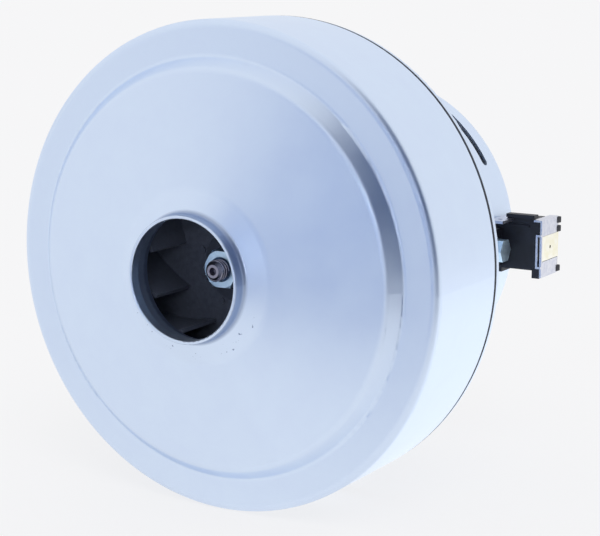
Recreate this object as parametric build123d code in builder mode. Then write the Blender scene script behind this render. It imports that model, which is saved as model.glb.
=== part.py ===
from build123d import *
import math
import os

os.makedirs("parts", exist_ok=True)

# Vacuum motor unit: a two-pole brush motor in a drawn frame, with a fan stage in a drum at its front.
# Millimetres. The shaft lies along Y and the inlet faces -Y, with +Z up and the brushes at +X and -X.
# The origin is on the shaft, at the middle of the drum's straight wall, where a rubber ring holds it.

# Gaps and cuts
overrun = 1.0
fit_gap = 0.05
rotor_gap = 0.5
rub_gap = 0.3

# Shaft and bearings
shaft_radius = 4.0
rotor_seat_radius = 5.0
stud_radius = 2.7
bearing_radius = 11.0
bearing_width = 7.0
ball_radius = 1.985
ball_count = 7

# Rotor and stator, from the shaft outwards
rotor_radius = 19.5
stack_length = 28.0
slot_count = 22
pole_neck = 2.95
coil_height = 7.6
insulator_wall = 0.8
insulator_gap = 0.1
yoke_height = 10.5
yoke_width = 8.0
stack_flat_high = 4.3
stack_flat_side = 2.3

# Commutator and brushes
hub_wall = 3.2
bar_depth = 3.2
bar_length = 12.7
riser_width = 1.5
riser_height = 1.4
bar_gap = 0.5
brush_width = 6.3
brush_depth = 11.0
brush_length = 31.0
tube_wall = 0.45

# Frame
frame_wall = 1.2
frame_corner = 6.0
rim_gap = 0.8
rim_height = 3.7
gap_depth = 0.7
plate_wall = 1.5
spacer_length = 6.5
winding_room = 13.0
winding_rear_length = 4.6
rear_room = 3.7
rear_bearing_set = 1.05

# Drum
shelf_width = 20.0
drum_straight = 31.0
drum_corner = 2.2
cover_wall = 1.0
annulus_width = 9.85
step_run = 3.25
step_height = 3.8
dish_rise = 5.6
flare_run = 6.25
flare_rise = 2.8
collar_radius = 17.3
collar_height = 3.5
throat_spread = 1.34
throat_wall = 0.6
throat_length = 8.85

# Fan
diffuser_width = 12.5
eye_lap = 0.8
shroud_wall = 1.0
shroud_rim_set = 0.9
impeller_depth = 11.0
back_plate_wall = 1.5
blade_count = 9
blade_wall = 1.1
diffuser_gap = 1.8
vane_count = 15
vane_wall = 1.2

# Radii that follow from the sizes above
stator_bore = rotor_radius + rotor_gap
coil_low = stator_bore + pole_neck
coil_high = coil_low + coil_height
winding_space_high = coil_high + fit_gap + insulator_wall + insulator_gap
stack_high = winding_space_high + yoke_height
frame_bore = stack_high + stack_flat_high
frame_radius = frame_bore + frame_wall
drum_radius = frame_radius + shelf_width
annulus_inner_radius = drum_radius - annulus_width
step_radius = annulus_inner_radius - step_run
dish_foot_radius = collar_radius + flare_run
throat_radius = collar_radius - cover_wall + throat_spread
eye_radius = throat_radius + throat_wall + rotor_gap
impeller_radius = drum_radius - cover_wall - diffuser_width
commutator_hub_radius = rotor_seat_radius + fit_gap + hub_wall
bar_inner_radius = commutator_hub_radius + fit_gap
commutator_radius = bar_inner_radius + bar_depth

# Planes along the shaft, from the inlet to the rear
face_y = -(drum_straight / 2 + drum_corner)
drum_rear_y = drum_straight / 2
lip_y = face_y - step_height - dish_rise - flare_rise - collar_height
throat_y = lip_y + throat_length
eye_y = throat_y - eye_lap
shroud_rim_y = face_y + shroud_rim_set
back_plate_y = face_y + impeller_depth
disc_y = back_plate_y + back_plate_wall + diffuser_gap
rim_y = drum_rear_y + rim_gap
flange_rear_y = rim_y + rim_height
flange_front_y = flange_rear_y - frame_wall
plate_rear_y = flange_front_y - spacer_length
plate_front_y = plate_rear_y - plate_wall
stack_y = plate_rear_y + winding_room
stack_rear_y = stack_y + stack_length
riser_y = stack_rear_y + winding_rear_length
commutator_y = riser_y + riser_width
brush_y = commutator_y + bar_length / 2
commutator_end_y = commutator_y + bar_length
frame_rear_y = commutator_end_y + bar_gap + rear_room
rear_bearing_y = frame_rear_y + rear_bearing_set
boss_end_y = rear_bearing_y + bearing_width + fit_gap + frame_wall


def station(y):
    """Sketch plane square to the shaft at y. Its x is X, its y is Z, and -amount extrudes to the rear."""
    return Plane.XZ.offset(-y)


def turned(*points, mode=Mode.ADD):
    """Turns a closed outline of (radius, y) points about the shaft."""
    with BuildSketch(Plane.XY) as section:
        with BuildLine():
            Polyline(*points, close=True)
        make_face()
    revolve(section.sketch, axis=Axis.Y, mode=mode)


def ring(inner, outer, start, end, mode=Mode.ADD):
    """A plain ring about the shaft, from start to end along it."""
    turned((inner, start), (outer, start), (outer, end), (inner, end), mode=mode)


def sector(inner, outer, start_angle, end_angle, corner=0):
    """A ring sector seen from the inlet, with rounded corners where a corner radius is given."""
    with BuildSketch(mode=Mode.PRIVATE) as shape:
        with BuildLine():
            far = CenterArc((0, 0), outer, start_angle, end_angle - start_angle)
            near = CenterArc((0, 0), inner, start_angle, end_angle - start_angle)
            Line(far @ 0, near @ 0)
            Line(far @ 1, near @ 1)
        make_face()
        if corner:
            fillet(shape.vertices(), radius=corner)
    return shape.sketch_local


def blade(inner, outer, start_angle, inner_slope, outer_slope, wall, turn):
    """A circular-arc blade from the inner to the outer radius. Slopes are degrees off the tangent.

    Seen from the inlet, it leans anticlockwise on its way out where turn is 1, clockwise where it is -1.
    """
    slope_in, slope_out = math.radians(inner_slope), math.radians(outer_slope)
    bend = (outer**2 - inner**2) / (2 * (outer * math.cos(slope_out) - inner * math.cos(slope_in)))
    start = math.radians(start_angle)
    radial = Vector(math.cos(start), math.sin(start))
    around = Vector(-math.sin(start), math.cos(start)) * turn
    centre = radial * (inner - bend * math.cos(slope_in)) + around * (bend * math.sin(slope_in))
    reach = centre.length
    home = math.degrees(math.atan2(-centre.Y, -centre.X))
    sense = math.copysign(turn, bend * turn)

    def swing(radius):
        return sense * math.degrees(math.acos((reach**2 + bend**2 - radius**2) / (2 * reach * abs(bend))))

    first = home + swing(inner)
    span = swing(outer) - swing(inner)
    with BuildSketch(mode=Mode.PRIVATE) as shape:
        with BuildLine():
            far = CenterArc(centre, abs(bend) + wall / 2, first, span)
            near = CenterArc(centre, abs(bend) - wall / 2, first, span)
            Line(far @ 0, near @ 0)
            Line(far @ 1, near @ 1)
        make_face()
    return shape.sketch_local


def keep(piece, name):
    """Labels a finished piece and writes its file."""
    piece.part.label = name
    export_step(piece.part, f"parts/{name}.step")


# Fan cover: one sheet of steel, drawn to a drum with a stepped face, a shallow cone and an inlet collar
half_wall = cover_wall / 2
step_foot_round = 2.0
step_round = 2.5
dish_round = 8.0
collar_round = 2.0
throat_start = 3.0
lip_round_share = 0.48

with BuildPart() as fan_cover:
    with BuildSketch(Plane.XY) as cover_section:
        with BuildLine():
            FilletPolyline(
                (drum_radius - half_wall, drum_rear_y),
                (drum_radius - half_wall, face_y + half_wall),
                (annulus_inner_radius, face_y + half_wall),
                (step_radius, face_y - step_height + half_wall),
                (dish_foot_radius, face_y - step_height - dish_rise + half_wall),
                (collar_radius - half_wall, lip_y + collar_height + half_wall),
                (collar_radius - half_wall, lip_y),
                radius=(
                    drum_corner - half_wall,
                    step_foot_round,
                    step_round,
                    dish_round,
                    collar_round,
                ),
            )
        trace(line_width=cover_wall)
        fillet(cover_section.vertices().sort_by(Axis.Y)[:2], radius=cover_wall * lip_round_share)
    revolve(axis=Axis.Y)
    # Inner lining of the collar, which spreads to the impeller's eye
    turned(
        (collar_radius - cover_wall, lip_y + cover_wall),
        (collar_radius - cover_wall, lip_y + throat_start),
        (throat_radius, throat_y),
        (throat_radius + throat_wall, throat_y),
        (collar_radius - cover_wall + throat_wall, lip_y + throat_start),
        (collar_radius - cover_wall + throat_wall, lip_y + cover_wall),
    )
keep(fan_cover, "fan_cover")


# Impeller wheel: moulded back plate, hub and arc blades in one piece
hub_radius = 9.5
hub_face_radius = 6.8
hub_foot_radius = 10.5
hub_front_height = 2.0
hub_rear_height = 2.5
blade_inset = 0.74
blade_phase = 6.2
blade_inner_slope = 35.0
blade_outer_slope = 42.0
pip_ring_radius = 11.8
pip_radius = 0.9
pip_height = 0.5
pip_phase = 4.0

hub_front_y = back_plate_y - hub_front_height
hub_rear_y = back_plate_y + back_plate_wall + hub_rear_height
blade_inner_radius = eye_radius - blade_inset
shroud_mid_radius = eye_radius + shroud_wall / 2
shroud_lip = 2.25
shroud_mid_y = eye_y + shroud_lip
shroud_tilt = math.atan2(shroud_rim_y - shroud_mid_y, impeller_radius - shroud_mid_radius)
blade_top = shroud_wall / 2 / math.cos(shroud_tilt) + fit_gap
blade_face = blade(
    blade_inner_radius, impeller_radius, blade_phase, blade_inner_slope, blade_outer_slope, blade_wall, -1
)

with BuildPart() as impeller_wheel:
    with BuildSketch(station(eye_y)):
        with PolarLocations(0, blade_count):
            add(blade_face)
        Circle(impeller_radius, mode=Mode.INTERSECT)
    extrude(amount=-(back_plate_y - eye_y))
    turned(
        (blade_inner_radius - overrun, eye_y - overrun),
        (blade_inner_radius - overrun, shroud_mid_y + blade_top),
        (shroud_mid_radius, shroud_mid_y + blade_top),
        (impeller_radius + overrun, shroud_rim_y + blade_top + overrun * math.tan(shroud_tilt)),
        (impeller_radius + overrun, eye_y - overrun),
        mode=Mode.SUBTRACT,
    )
    ring(shaft_radius + fit_gap, impeller_radius, back_plate_y, back_plate_y + back_plate_wall)
    ring(shaft_radius + fit_gap, hub_radius, back_plate_y, hub_rear_y)
    turned(
        (shaft_radius + fit_gap, hub_front_y),
        (hub_face_radius, hub_front_y),
        (hub_foot_radius, back_plate_y),
        (shaft_radius + fit_gap, back_plate_y),
    )
    with BuildSketch(station(back_plate_y - pip_height)):
        with PolarLocations(pip_ring_radius, blade_count, start_angle=pip_phase):
            Circle(pip_radius)
    extrude(amount=-(pip_height + back_plate_wall / 2))
keep(impeller_wheel, "impeller_wheel")


# Impeller shroud: dished front plate with a short eye collar, welded along the blade tops
shroud_round = 2.0

with BuildPart() as impeller_shroud:
    with BuildSketch(Plane.XY):
        with BuildLine():
            FilletPolyline(
                (shroud_mid_radius, eye_y),
                (shroud_mid_radius, shroud_mid_y),
                (impeller_radius, shroud_rim_y),
                radius=shroud_round,
            )
        trace(line_width=shroud_wall)
    revolve(axis=Axis.Y)
keep(impeller_shroud, "impeller_shroud")


# Washer and nut that clamp the impeller on the shaft
washer_radius = 6.2
washer_wall = 1.3
nut_flats = 10.0
nut_sides = 6
nut_height = 5.0
nut_chamfer = 0.8
stud_reach = 3.7

washer_y = hub_front_y - washer_wall
nut_y = washer_y - nut_height
stud_y = nut_y - stud_reach

with BuildPart() as impeller_washer:
    ring(stud_radius + fit_gap, washer_radius, washer_y, hub_front_y)
keep(impeller_washer, "impeller_washer")

with BuildPart() as impeller_nut:
    with BuildSketch(station(nut_y)):
        RegularPolygon(nut_flats / 2, nut_sides, major_radius=False)
        Circle(stud_radius + fit_gap, mode=Mode.SUBTRACT)
    extrude(amount=-nut_height)
    nut_corner_radius = nut_flats / 2 / math.cos(math.pi / nut_sides)
    nut_face_radius = nut_flats / 2 + fit_gap
    turned(
        (nut_face_radius, nut_y - fit_gap),
        (nut_corner_radius + overrun, nut_y - fit_gap),
        (nut_corner_radius + overrun, nut_y + nut_chamfer),
        mode=Mode.SUBTRACT,
    )
    turned(
        (stud_radius - overrun, nut_y - fit_gap),
        (stud_radius + nut_chamfer, nut_y - fit_gap),
        (stud_radius - overrun, nut_y + nut_chamfer + overrun),
        mode=Mode.SUBTRACT,
    )
keep(impeller_nut, "impeller_nut")


# Diffuser: moulded disc with guide vanes round the impeller and return vanes behind it
vane_gap = 2.5
disc_wall = 2.0
disc_lap = 2.5
diffuser_hub_wall = 8.35
vane_front_set = 1.6
vane_inner_slope = 22.0
vane_outer_slope = 30.0
return_inset = 6.0
return_inner_slope = 62.0
return_outer_slope = 28.0
diffuser_screw_radius = 1.5
diffuser_head_radius = 2.9
diffuser_screw_count = 3

disc_rear_y = disc_y + disc_wall
vane_inner_radius = impeller_radius + vane_gap
diffuser_radius = drum_radius - cover_wall - rub_gap
cup_wall = 1.3
cup_radius = bearing_radius + fit_gap + cup_wall
diffuser_bore = cup_radius + rub_gap
diffuser_hub_radius = diffuser_bore + diffuser_hub_wall
diffuser_screw_distance = diffuser_bore + diffuser_hub_wall / 2
return_inner_radius = diffuser_hub_radius + return_inset

with BuildPart() as diffuser:
    with BuildSketch(station(face_y + cover_wall + vane_front_set)):
        with PolarLocations(0, vane_count):
            add(
                blade(
                    vane_inner_radius, diffuser_radius, 0, vane_inner_slope, vane_outer_slope, vane_wall, 1
                )
            )
        Circle(diffuser_radius, mode=Mode.INTERSECT)
    extrude(amount=-(plate_front_y - face_y - cover_wall - vane_front_set))
    with BuildSketch(station(disc_rear_y)):
        with PolarLocations(0, vane_count):
            add(
                blade(
                    return_inner_radius,
                    vane_inner_radius + disc_lap,
                    0,
                    return_inner_slope,
                    return_outer_slope,
                    vane_wall,
                    -1,
                )
            )
    extrude(amount=-(plate_front_y - disc_rear_y))
    ring(diffuser_bore, vane_inner_radius + disc_lap, disc_y, disc_rear_y)
    ring(diffuser_bore, diffuser_hub_radius, disc_y, plate_front_y)
    with BuildSketch(station(disc_y)):
        with PolarLocations(diffuser_screw_distance, diffuser_screw_count, start_angle=90):
            Circle(diffuser_screw_radius + fit_gap)
    extrude(amount=-(plate_front_y - disc_y), mode=Mode.SUBTRACT)
keep(diffuser, "diffuser")


# Front bracket: pressed plate with the front bearing's cup, four windows and four spacer bosses
window_inset = 3.0
window_depth = 13.0
window_angle = 40.0
window_corner = 3.0
window_count = 6
bracket_boss_radius = 4.0
bracket_screw_radius = 2.0
bracket_screw_count = 4
bearing_inset = 0.4
cup_mouth_radius = 8.2
spigot_wall = 1.2

window_inner_radius = diffuser_hub_radius + window_inset
window_outer_radius = window_inner_radius + window_depth
spigot_radius = drum_radius - cover_wall - fit_gap
bracket_screw_distance = (frame_radius + spigot_radius - spigot_wall) / 2
front_bearing_y = plate_rear_y - bearing_inset - bearing_width
cup_y = front_bearing_y - cup_wall

with BuildPart() as front_bracket:
    ring(bearing_radius + fit_gap, spigot_radius, plate_front_y, plate_rear_y)
    ring(bearing_radius + fit_gap, cup_radius, cup_y, plate_rear_y)
    ring(cup_mouth_radius, bearing_radius + fit_gap, cup_y, front_bearing_y)
    with BuildSketch(station(plate_front_y)):
        with PolarLocations(0, window_count):
            add(
                sector(
                    window_inner_radius,
                    window_outer_radius,
                    -window_angle / 2,
                    window_angle / 2,
                    window_corner,
                )
            )
    extrude(amount=-plate_wall, mode=Mode.SUBTRACT)
    with BuildSketch(station(plate_rear_y)):
        with PolarLocations(bracket_screw_distance, bracket_screw_count, start_angle=45):
            Circle(bracket_boss_radius)
    extrude(amount=-spacer_length)
    with BuildSketch(station(plate_front_y)):
        with PolarLocations(bracket_screw_distance, bracket_screw_count, start_angle=45):
            Circle(bracket_screw_radius + fit_gap)
        with PolarLocations(diffuser_screw_distance, diffuser_screw_count, start_angle=90):
            Circle(diffuser_screw_radius + fit_gap)
    extrude(amount=-(plate_wall + spacer_length), mode=Mode.SUBTRACT)
keep(front_bracket, "front_bracket")


# Screws that hold the diffuser to the bracket, from the front
diffuser_head_height = 1.4

with BuildPart() as diffuser_screws:
    with BuildSketch(station(disc_y - diffuser_head_height)):
        with PolarLocations(diffuser_screw_distance, diffuser_screw_count, start_angle=90):
            Circle(diffuser_head_radius)
    extrude(amount=-diffuser_head_height)
    with BuildSketch(station(disc_y)):
        with PolarLocations(diffuser_screw_distance, diffuser_screw_count, start_angle=90):
            Circle(diffuser_screw_radius)
    extrude(amount=-(plate_rear_y - disc_y))
keep(diffuser_screws, "diffuser_screws")


# Motor frame: drawn steel bell with a wide rim that closes the drum, exhaust slots and a bearing boss
rim_set = 0.3
rim_corner = 1.6
flange_round = 2.0
boss_foot_round = 1.5
boss_rim_round = 1.0
boss_mouth_radius = 6.5
exhaust_width = 2.9
exhaust_setback = 12.1
exhaust_low_angle = 30.5
exhaust_high_angle = 60.0
rear_window_set = 7.75
rear_window_depth = 12.0
rear_window_angle = 62.0
rear_window_corner = 3.0
rear_window_count = 4

holder_window_gap = 0.2
holder_wall = 0.8
core_floor = 2.6
core_roof = 0.65
holder_screw_set = 6.7
holder_screw_radius = 1.5

rim_radius = drum_radius - rim_set
frame_mid_radius = frame_radius - frame_wall / 2
boss_radius = bearing_radius + fit_gap + frame_wall
rear_window_inner = boss_radius + rear_window_set
rear_window_outer = rear_window_inner + rear_window_depth
exhaust_y = frame_rear_y - exhaust_setback

tube_depth = brush_depth + 2 * fit_gap + 2 * tube_wall
tube_width = brush_width + 2 * fit_gap + 2 * tube_wall
core_depth = tube_depth + 2 * fit_gap + 2 * holder_wall
core_low = tube_width / 2 + fit_gap + core_floor
core_high = tube_width / 2 + fit_gap + core_roof
holder_front_y = brush_y - core_depth / 2
holder_screw_y = holder_front_y - holder_screw_set

with BuildPart() as motor_frame:
    with BuildSketch(Plane.XY):
        with BuildLine():
            FilletPolyline(
                (rim_radius - frame_wall / 2, rim_y),
                (rim_radius - frame_wall / 2, flange_rear_y - frame_wall / 2),
                (frame_mid_radius, flange_rear_y - frame_wall / 2),
                (frame_mid_radius, frame_rear_y - frame_wall / 2),
                (boss_radius - frame_wall / 2, frame_rear_y - frame_wall / 2),
                (boss_radius - frame_wall / 2, boss_end_y - frame_wall / 2),
                (boss_mouth_radius, boss_end_y - frame_wall / 2),
                radius=(
                    rim_corner - frame_wall / 2,
                    flange_round,
                    frame_corner - frame_wall / 2,
                    boss_foot_round,
                    boss_rim_round,
                ),
            )
        trace(line_width=frame_wall)
    revolve(axis=Axis.Y)
    ring(spigot_radius - spigot_wall, spigot_radius, plate_rear_y, flange_front_y)
    ring(spigot_radius - spigot_wall, rim_radius - frame_wall / 2, rim_y, flange_front_y)
    ring(spigot_radius - gap_depth, spigot_radius + overrun, drum_rear_y, rim_y, mode=Mode.SUBTRACT)

    # Exhaust slots in the side wall, round at both ends
    with BuildSketch(station(exhaust_y - exhaust_width / 2)):
        for first in (exhaust_low_angle, 180 - exhaust_high_angle):
            for half_turn in (0, 180):
                add(
                    sector(
                        frame_bore - overrun,
                        frame_radius + overrun,
                        first + half_turn,
                        first + half_turn + exhaust_high_angle - exhaust_low_angle,
                    )
                )
    extrude(amount=-exhaust_width, mode=Mode.SUBTRACT)
    for side in (exhaust_low_angle, exhaust_high_angle, 180 - exhaust_high_angle, 180 - exhaust_low_angle):
        slot_end = Plane(
            origin=(0, exhaust_y, 0),
            x_dir=(0, 1, 0),
            z_dir=(math.cos(math.radians(side)), 0, math.sin(math.radians(side))),
        )
        with BuildSketch(slot_end):
            Circle(exhaust_width / 2)
        extrude(amount=frame_radius + overrun, both=True, mode=Mode.SUBTRACT)

    # Rear windows, holder windows and screw holes
    with BuildSketch(station(frame_rear_y - frame_wall - overrun)):
        with PolarLocations(0, rear_window_count, start_angle=45):
            add(
                sector(
                    rear_window_inner,
                    rear_window_outer,
                    -rear_window_angle / 2,
                    rear_window_angle / 2,
                    rear_window_corner,
                )
            )
    extrude(amount=-(frame_wall + 2 * overrun), mode=Mode.SUBTRACT)
    with BuildSketch(Plane.YZ):
        with Locations((brush_y, (core_high - core_low) / 2)):
            Rectangle(core_depth + 2 * holder_window_gap, core_high + core_low + 2 * holder_window_gap)
    extrude(amount=frame_radius + overrun, mode=Mode.SUBTRACT)
    with BuildSketch(Plane.YZ):
        with Locations((brush_y, (core_low - core_high) / 2)):
            Rectangle(core_depth + 2 * holder_window_gap, core_high + core_low + 2 * holder_window_gap)
    extrude(amount=-frame_radius - overrun, mode=Mode.SUBTRACT)
    with BuildSketch(Plane.YZ):
        with Locations((holder_screw_y, 0)):
            Circle(holder_screw_radius + fit_gap)
    extrude(amount=frame_radius + overrun, both=True, mode=Mode.SUBTRACT)
    with BuildSketch(station(flange_front_y)):
        with PolarLocations(bracket_screw_distance, bracket_screw_count, start_angle=45):
            Circle(bracket_screw_radius + fit_gap)
    extrude(amount=-frame_wall, mode=Mode.SUBTRACT)
keep(motor_frame, "motor_frame")


# Screws that hold the frame's flange to the bracket, from the rear
bracket_head_radius = 3.8
bracket_head_height = 2.4
bracket_head_round = 1.0
bracket_screw_length = 6.0

with BuildPart() as bracket_screws:
    with BuildSketch(station(flange_rear_y)):
        with PolarLocations(bracket_screw_distance, bracket_screw_count, start_angle=45):
            Circle(bracket_head_radius)
    extrude(amount=-bracket_head_height)
    fillet(bracket_screws.edges().group_by(Axis.Y)[-1], radius=bracket_head_round)
    with BuildSketch(station(flange_rear_y)):
        with PolarLocations(bracket_screw_distance, bracket_screw_count, start_angle=45):
            Circle(bracket_screw_radius)
    extrude(amount=bracket_screw_length)
keep(bracket_screws, "bracket_screws")


# Bearings: outer and inner rings with a groove, balls in a cage, and a shield on each side
ball_ring_radius = 7.5
outer_ring_inner = 8.9
inner_ring_outer = 6.15
groove_gap = 0.04
cage_half_wall = 0.45
cage_width = 5.0
shield_wall = 0.3
shield_gap = 0.15
ring_corner = 0.5


def raceway(centre_y, mode):
    """The ball groove, cut from a ring or filled for the balls' path."""
    with BuildSketch(Plane.XY) as groove:
        with Locations((ball_ring_radius, centre_y)):
            Circle(ball_radius + groove_gap)
    revolve(groove.sketch, axis=Axis.Y, mode=mode)


for bearing, bearing_y in (("front_bearing", front_bearing_y), ("rear_bearing", rear_bearing_y)):
    middle_y = bearing_y + bearing_width / 2
    with BuildPart() as outer_ring:
        ring(outer_ring_inner, bearing_radius, bearing_y, bearing_y + bearing_width)
        rim_edges = outer_ring.edges().filter_by(GeomType.CIRCLE).group_by(SortBy.RADIUS)[-1]
        fillet(rim_edges, radius=ring_corner)
        raceway(middle_y, Mode.SUBTRACT)
    keep(outer_ring, f"{bearing}_outer_ring")
    with BuildPart() as inner_ring:
        ring(shaft_radius + fit_gap, inner_ring_outer, bearing_y, bearing_y + bearing_width)
        raceway(middle_y, Mode.SUBTRACT)
    keep(inner_ring, f"{bearing}_inner_ring")
    with BuildPart() as balls:
        for index in range(ball_count):
            turn = 2 * math.pi * index / ball_count
            with Locations((ball_ring_radius * math.cos(turn), middle_y, ball_ring_radius * math.sin(turn))):
                Sphere(ball_radius)
    keep(balls, f"{bearing}_balls")
    with BuildPart() as cage:
        ring(
            ball_ring_radius - cage_half_wall,
            ball_ring_radius + cage_half_wall,
            middle_y - cage_width / 2,
            middle_y + cage_width / 2,
        )
        for index in range(ball_count):
            turn = 2 * math.pi * index / ball_count
            pocket = Plane(
                origin=(0, middle_y, 0), x_dir=(0, 1, 0), z_dir=(math.cos(turn), 0, math.sin(turn))
            )
            with BuildSketch(pocket):
                Circle(ball_radius + groove_gap)
            extrude(amount=bearing_radius, mode=Mode.SUBTRACT)
    keep(cage, f"{bearing}_cage")
    with BuildPart() as shields:
        shield_inner = inner_ring_outer + shield_gap
        shield_outer = outer_ring_inner - fit_gap
        ring(shield_inner, shield_outer, bearing_y + shield_wall, bearing_y + 2 * shield_wall)
        shield_rear_y = bearing_y + bearing_width - shield_wall
        ring(shield_inner, shield_outer, shield_rear_y - shield_wall, shield_rear_y)
    keep(shields, f"{bearing}_shields")


# Shaft: threaded stud at the front, ground seats for the bearings and a thicker rotor seat between them
stud_chamfer = 0.85
centre_hole_radius = 1.1
centre_hole_depth = 2.0
hub_hold = 0.6
shaft_end_gap = 0.6

stud_shoulder_y = hub_front_y + hub_hold
shaft_end_y = boss_end_y - shaft_end_gap
front_seat_y = front_bearing_y + bearing_width

with BuildPart() as shaft:
    turned(
        (0, stud_y),
        (stud_radius - stud_chamfer, stud_y),
        (stud_radius, stud_y + stud_chamfer),
        (stud_radius, stud_shoulder_y),
        (shaft_radius, stud_shoulder_y),
        (shaft_radius, front_seat_y),
        (rotor_seat_radius, front_seat_y),
        (rotor_seat_radius, rear_bearing_y),
        (shaft_radius, rear_bearing_y),
        (shaft_radius, shaft_end_y),
        (0, shaft_end_y),
    )
    turned(
        (0, stud_y - overrun),
        (centre_hole_radius, stud_y - overrun),
        (centre_hole_radius, stud_y + centre_hole_depth),
        (0, stud_y + centre_hole_depth + centre_hole_radius),
        mode=Mode.SUBTRACT,
    )
keep(shaft, "shaft")


# Sleeve that sets the impeller's distance from the front bearing
spacer_radius = 6.0

with BuildPart() as impeller_spacer:
    ring(shaft_radius + fit_gap, spacer_radius, hub_rear_y, front_bearing_y)
keep(impeller_spacer, "impeller_spacer")


# Rotor core: stack of slotted laminations, with the slots open at the rim
core_web = 5.95
slot_width = 2.2
slot_mouth = 1.0
tooth_tip = 1.2

slot_floor_radius = rotor_seat_radius + fit_gap + core_web
slot_top_radius = rotor_radius - tooth_tip
slot_middle_radius = (slot_floor_radius + slot_top_radius) / 2

with BuildPart() as rotor_core:
    with BuildSketch(station(stack_y)):
        Circle(rotor_radius)
        Circle(rotor_seat_radius + fit_gap, mode=Mode.SUBTRACT)
        with PolarLocations(slot_middle_radius, slot_count):
            Rectangle(slot_top_radius - slot_floor_radius, slot_width, mode=Mode.SUBTRACT)
        with PolarLocations(rotor_radius, slot_count):
            Rectangle(2 * tooth_tip + overrun, slot_mouth, mode=Mode.SUBTRACT)
    extrude(amount=-stack_length)
keep(rotor_core, "rotor_core")


# Armature winding: bundles of wire at both ends of the core, joined through its slots
sleeve_wall = 1.2
winding_inset = 0.75
winding_recess = 1.5
winding_front_length = 6.5
winding_round = 2.0
slot_lining = 0.2

winding_inner_radius = rotor_seat_radius + fit_gap + sleeve_wall + winding_inset
winding_outer_radius = rotor_radius - winding_recess

with BuildPart() as armature_winding:
    ring(winding_inner_radius, winding_outer_radius, stack_y - winding_front_length, stack_y - fit_gap)
    ring(winding_inner_radius, winding_outer_radius, stack_rear_y + fit_gap, riser_y - fit_gap)
    fillet(armature_winding.edges().group_by(Axis.Y)[0], radius=winding_round)
    fillet(armature_winding.edges().group_by(Axis.Y)[-1], radius=winding_round)
    with BuildSketch(station(stack_y - fit_gap - slot_lining)):
        with PolarLocations(slot_middle_radius, slot_count):
            Rectangle(
                slot_top_radius - slot_floor_radius - 2 * slot_lining, slot_width - 2 * slot_lining
            )
    extrude(amount=-(stack_length + 2 * fit_gap + 2 * slot_lining))
keep(armature_winding, "armature_winding")


# Insulating sleeve on the rotor seat, between the front bearing and the rotor core
with BuildPart() as shaft_sleeve:
    ring(
        rotor_seat_radius + fit_gap,
        rotor_seat_radius + fit_gap + sleeve_wall,
        front_seat_y + fit_gap,
        stack_y - fit_gap,
    )
keep(shaft_sleeve, "shaft_sleeve")


# Commutator: copper bars on a moulded hub, with a riser on each bar for its wires
bar_angle = 360 / slot_count - math.degrees(bar_gap / commutator_radius)

with BuildPart() as commutator_hub:
    ring(rotor_seat_radius + fit_gap, commutator_hub_radius, riser_y, commutator_end_y + bar_gap)
keep(commutator_hub, "commutator_hub")

with BuildPart() as commutator_bars:
    with BuildSketch(station(riser_y)):
        with PolarLocations(0, slot_count):
            add(sector(bar_inner_radius, commutator_radius + riser_height, -bar_angle / 2, bar_angle / 2))
    extrude(amount=-riser_width)
    with BuildSketch(station(commutator_y)):
        with PolarLocations(0, slot_count):
            add(sector(bar_inner_radius, commutator_radius, -bar_angle / 2, bar_angle / 2))
    extrude(amount=-bar_length)
keep(commutator_bars, "commutator_bars")


# Stator core: stack of laminations with a pole above and a pole below the rotor
winding_space_corner = 8.0
pole_width = 26.0
shoe_thickness = 4.5
shoe_angle = 58.0

stack_side = frame_bore - stack_flat_side
winding_space_side = stack_side - yoke_width
shoe_radius = stator_bore + shoe_thickness

with BuildPart() as stator_core:
    with BuildSketch(station(stack_y)):
        Circle(frame_bore - fit_gap)
        Rectangle(2 * stack_side, 2 * stack_high, mode=Mode.INTERSECT)
        RectangleRounded(
            2 * winding_space_side, 2 * winding_space_high, winding_space_corner, mode=Mode.SUBTRACT
        )
        Rectangle(pole_width, 2 * winding_space_high + overrun)
        for pole_angle in (90, 270):
            add(sector(stator_bore, shoe_radius, pole_angle - shoe_angle, pole_angle + shoe_angle))
        Circle(stator_bore, mode=Mode.SUBTRACT)
    extrude(amount=-stack_length)
keep(stator_core, "stator_core")


# Field coils and their moulded insulators, one round each pole
coil_wall = 9.0
coil_round = 2.5
coil_inner_corner = 3.0
flange_lip = 0.6

insulator_width = pole_width + 2 * (insulator_gap + insulator_wall)
insulator_depth = stack_length + 2 * (insulator_gap + insulator_wall)
stack_middle_y = stack_y + stack_length / 2
coil_corner = coil_inner_corner + coil_wall

with BuildPart() as field_coil:
    with BuildSketch(Plane.XY.offset(coil_low)):
        with Locations((0, stack_middle_y)):
            RectangleRounded(
                insulator_width + 2 * (fit_gap + coil_wall),
                insulator_depth + 2 * (fit_gap + coil_wall),
                coil_corner,
            )
            RectangleRounded(
                insulator_width + 2 * fit_gap,
                insulator_depth + 2 * fit_gap,
                coil_inner_corner,
                mode=Mode.SUBTRACT,
            )
    extrude(amount=coil_height)
    side_edges = field_coil.edges().filter_by(Axis.Y).group_by(Axis.X)
    fillet(side_edges[0] + side_edges[-1], radius=coil_round)

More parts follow.
